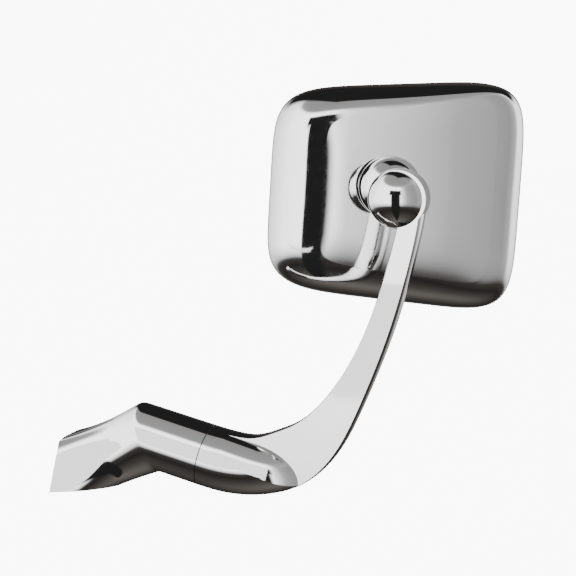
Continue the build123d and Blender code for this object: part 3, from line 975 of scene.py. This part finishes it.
    def build(self) -> None:
        """Makes every outer piece of the head."""
        self.build_shell()
        self.build_bezel()
        self.build_glass()
        self.build_cup()


def behind_ball(across: float, up: float, level: float) -> Vector:
    """Point of the head at a level behind the ball, in millimetres."""
    return HEAD.at(across, up, -level)


# ---------------------------------------------------------------- inner pieces kept from the frame
def dress_kept_nodes() -> None:
    """Gives every node that still shows the finish of its own slot."""
    for part in frame["record"]["subparts"]:
        node = frame["nodes"][part["node"]]
        if not node.hide_render:
            dress(node, part["material_slot"])
            log.info("%s keeps its shape, dressed in %s", part["node"], part["material_slot"])


# ---------------------------------------------------------------- studio
TURN, RISE = 180.0, 90.0


@dataclass
class Studio:
    """Plain pale floor and backdrop, soft surroundings and the camera."""

    azimuth: float = 20.0
    elevation: float = 9.0
    distance: float = 0.85
    view_width: float = 0.2678
    sensor: float = 36.0
    aim: tuple[float, float, float] = (0.1132, 0.0, 0.0902)
    floor_drop: float = 0.16
    glow: float = 3.4
    card_glow: float = 2.2
    # the card's near and far edges in metres: left end, right end, place in front of the arm, and height
    card_near: tuple[float, float, float, float] = (-0.08, 0.15, -0.1, 0.08)
    card_far: tuple[float, float, float, float] = (-0.45, 0.24, -0.7, -0.12)

    def room_angles(self, nodes: bpy.types.Nodes, links: bpy.types.NodeLinks) -> tuple[bpy.types.Node, ...]:
        """Angles of a direction in the room.

        Args:
            nodes: The world's nodes.
            links: Its links.

        Returns:
            Nodes that give the angle round to the right of the camera's side, from minus to plus half a
            turn, and the angle up, from straight down to straight up, each as 0 to 1.
        """
        place = nodes.new("ShaderNodeTexCoord")
        turn = nodes.new("ShaderNodeMapping")
        turn.inputs["Rotation"].default_value = (0, 0, math.radians(-self.azimuth))
        split = nodes.new("ShaderNodeSeparateXYZ")
        links.new(place.outputs["Generated"], turn.inputs["Vector"])
        links.new(turn.outputs["Vector"], split.inputs["Vector"])
        front = nodes.new("ShaderNodeMath")
        front.operation = "MULTIPLY"
        front.inputs[1].default_value = -1.0
        links.new(split.outputs["Y"], front.inputs[0])
        around, height = nodes.new("ShaderNodeMath"), nodes.new("ShaderNodeMath")
        around.operation, height.operation = "ARCTAN2", "ARCSINE"
        links.new(split.outputs["X"], around.inputs[0])
        links.new(front.outputs["Value"], around.inputs[1])
        links.new(split.outputs["Z"], height.inputs[0])
        shares = []
        for angle, reach in ((around, math.pi), (height, math.pi / 2)):
            share = nodes.new("ShaderNodeMapRange")
            share.inputs["From Min"].default_value = -reach
            share.inputs["From Max"].default_value = reach
            links.new(angle.outputs["Value"], share.inputs["Value"])
            shares.append(share)
        return tuple(shares)

    def surroundings(self) -> None:
        """Soft walls, a grey ceiling that is black at the back, and a dark ground, for the chrome to show."""
        world = bpy.data.worlds.new("studio")
        bpy.context.scene.world = world
        world.use_nodes = True
        nodes, links = world.node_tree.nodes, world.node_tree.links
        around, height = self.room_angles(nodes, links)
        walls = self.ramp(nodes, (
            (-180, 0.02), (-166, 0.02), (-150, 0.5), (-95, 1.0), (-30, 1.1), (4, 1.0), (16, 0.5), (32, 0.2),
            (48, 0.15), (70, 0.13), (95, 0.2), (112, 0.7), (140, 0.6), (158, 0.02), (180, 0.02)), TURN)
        ends = self.ramp(nodes, (
            (-90, 0.05), (-60, 0.02), (-40, 0.008), (-28, 0.015), (-14, 0.16), (0, 0.2), (48, 0.2),
            (58, 0.13), (78, 0.12), (90, 0.1)), RISE)
        is_wall = self.ramp(nodes, ((-90, 0), (-25, 0), (-10, 1), (44, 1), (52, 0), (90, 0)), RISE)
        behind = self.ramp(nodes, ((-180, 1), (-152, 1), (-138, 0), (104, 0), (116, 1), (180, 1)), TURN)
        high = self.ramp(nodes, ((-90, 0), (14, 0), (24, 1), (90, 1)), RISE)
        upright = self.ramp(nodes, ((-180, 0), (-31, 0), (-28, 1), (2, 1), (8, 0), (180, 0)), TURN)
        below = self.ramp(nodes, ((-90, 1), (30, 1), (34, 0), (90, 0)), RISE)
        crossbar = self.ramp(nodes, ((-180, 0), (-40, 0), (-37, 1), (6, 1), (12, 0), (180, 0)), TURN)
        bar_height = self.ramp(nodes, ((-90, 0), (12, 0), (20, 1), (33, 1), (37, 0), (90, 0)), RISE)
        for ramp in (walls, behind, upright, crossbar):
            links.new(around.outputs["Result"], ramp.inputs["Fac"])
        for ramp in (ends, is_wall, high, below, bar_height):
            links.new(height.outputs["Result"], ramp.inputs["Fac"])
        dark = None
        for pair in ((behind, high), (upright, below), (crossbar, bar_height)):
            patch = self.math_node(nodes, links, "MULTIPLY", *pair)
            dark = patch if dark is None else self.math_node(nodes, links, "MAXIMUM", dark, patch)
        choices = [choice.outputs["Color"] for choice in (is_wall, ends, walls)]
        room = self.mixed(nodes, links, *choices)
        black = nodes.new("ShaderNodeRGB")
        black.outputs["Color"].default_value = (0.006, 0.006, 0.006, 1)
        seen = self.mixed(nodes, links, dark.outputs["Value"], room.outputs["Result"], black.outputs["Color"])
        glow = nodes["Background"]
        glow.inputs["Strength"].default_value = self.glow
        links.new(seen.outputs["Result"], glow.inputs["Color"])

    @staticmethod
    def math_node(
        nodes: bpy.types.Nodes,
        links: bpy.types.NodeLinks,
        how: str,
        first: bpy.types.Node,
        second: bpy.types.Node,
    ) -> bpy.types.Node:
        """Combines the first outputs of two nodes.

        Args:
            nodes: The node tree to add to.
            links: Its links.
            how: The operation.
            first: A node.
            second: Another node.

        Returns:
            The new node.
        """
        node = nodes.new("ShaderNodeMath")
        node.operation = how
        links.new(first.outputs[0], node.inputs[0])
        links.new(second.outputs[0], node.inputs[1])
        return node

    @staticmethod
    def mixed(
        nodes: bpy.types.Nodes,
        links: bpy.types.NodeLinks,
        share: bpy.types.NodeSocket,
        first: bpy.types.NodeSocket,
        second: bpy.types.NodeSocket,
    ) -> bpy.types.Node:
        """Goes from one colour to another.

        Args:
            nodes: The node tree to add to.
            links: Its links.
            share: 0 for the first colour and 1 for the second.
            first: The first colour.
            second: The second colour.

        Returns:
            The new node.
        """
        node = nodes.new("ShaderNodeMix")
        node.data_type = "RGBA"
        links.new(share, node.inputs["Factor"])
        links.new(first, node.inputs["A"])
        links.new(second, node.inputs["B"])
        return node

    @staticmethod
    def ramp(nodes: bpy.types.Nodes, stops: Profile, reach: float) -> bpy.types.Node:
        """A ramp of grey over angles in degrees, warmer where it is dark.

        Args:
            nodes: The node tree to add to.
            stops: Pairs of angle and grey.
            reach: The ramp covers the angles from minus this to plus this.

        Returns:
            The ramp's node.
        """
        node = nodes.new("ShaderNodeValToRGB")
        band = node.color_ramp
        while len(band.elements) > 1:
            band.elements.remove(band.elements[-1])
        for index, (angle, grey) in enumerate(stops):
            place = (angle / reach + 1) / 2
            element = band.elements[0] if index == 0 else band.elements.new(place)
            element.position = place
            warm = 1.0 if grey > 0.1 else 1.1
            element.color = (grey * warm, grey, grey / warm, 1)
        return node

    def plain(self, name: str, grey: float, glow: float) -> bpy.types.Material:
        """Matt paper that gives light of its own.

        Args:
            name: The material's name.
            grey: Its grey.
            glow: How much light it gives.

        Returns:
            The material.
        """
        material = bpy.data.materials.new(name)
        material.use_nodes = True
        shader = material.node_tree.nodes["Principled BSDF"]
        shader.inputs["Base Color"].default_value = (grey, grey, grey, 1)
        shader.inputs["Roughness"].default_value = 0.9
        shader.inputs["Emission Color"].default_value = (1, 1, 1, 1)
        shader.inputs["Emission Strength"].default_value = glow
        return material

    def set_stage(self) -> None:
        """Pale floor and an all-round backdrop, which the chrome doesn't show."""
        low = cad_bounds[0][2] - self.floor_drop
        floor = bmesh.new()
        place = Matrix.Translation((0, 0, low))
        bmesh.ops.create_circle(floor, cap_ends=True, radius=3.5, segments=96, matrix=place)
        dome = bmesh.new()
        bmesh.ops.create_uvsphere(dome, u_segments=64, v_segments=32, radius=4.0)
        bmesh.ops.reverse_faces(dome, faces=dome.faces)
        for name, mesh, glow in (("floor", floor, 9.0), ("backdrop", dome, 9.0)):
            sheet = to_object(name, mesh)
            sheet.data.materials.append(self.plain(f"{name}_paper", 0.9, glow))
            sheet.data.shade_smooth()
            sheet.visible_glossy = False
            sheet.visible_diffuse = False
            sheet.visible_shadow = False

    def set_card(self) -> None:
        """White card in front of the tube, seen only by the chrome under it and clear from above."""
        sheet = bmesh.new()
        (near_left, near_right, *near), (far_left, far_right, *far) = self.card_near, self.card_far
        corners = ((near_left, *near), (near_right, *near), (far_right, *far), (far_left, *far))
        sheet.faces.new([sheet.verts.new(corner) for corner in corners])
        card = to_object("card", sheet)
        paper = bpy.data.materials.new("card_paper")
        paper.use_nodes = True
        nodes, links = paper.node_tree.nodes, paper.node_tree.links
        nodes.clear()
        side, glow = nodes.new("ShaderNodeNewGeometry"), nodes.new("ShaderNodeEmission")
        clear, both = nodes.new("ShaderNodeBsdfTransparent"), nodes.new("ShaderNodeMixShader")
        glow.inputs["Strength"].default_value = self.card_glow
        links.new(side.outputs["Backfacing"], both.inputs["Fac"])
        links.new(glow.outputs["Emission"], both.inputs[1])
        links.new(clear.outputs["BSDF"], both.inputs[2])
        links.new(both.outputs["Shader"], nodes.new("ShaderNodeOutputMaterial").inputs["Surface"])
        card.data.materials.append(paper)
        card.visible_camera = False
        card.visible_diffuse = False
        card.visible_shadow = False

    def camera(self) -> None:
        """The camera, aimed a little outboard of the arm."""
        data = bpy.data.cameras.new("camera")
        data.sensor_width = self.sensor
        data.lens = self.sensor * self.distance / self.view_width
        turn, rise = math.radians(self.azimuth), math.radians(self.elevation)
        away = Vector((math.sin(turn) * math.cos(rise), -math.cos(turn) * math.cos(rise), math.sin(rise)))
        eye = bpy.data.objects.new("camera", data)
        eye.location = Vector(self.aim) + away * self.distance
        eye.rotation_euler = (-away).to_track_quat("-Z", "Y").to_euler()
        bpy.context.scene.collection.objects.link(eye)
        bpy.context.scene.camera = eye

    def build(self) -> None:
        """Sets up the studio."""
        self.surroundings()
        self.set_stage()
        self.set_card()
        self.camera()


def main() -> None:
    """Builds the mirror's outer pieces, dresses the inner ones and sets the studio."""
    logging.basicConfig(level=logging.INFO, format="%(message)s")
    Studio().build()
    Foot().build()
    arm = Arm()
    arm.build()
    arm.build_cap()
    Head().build()
    dress_kept_nodes()


if __name__ == "__main__":
    main()
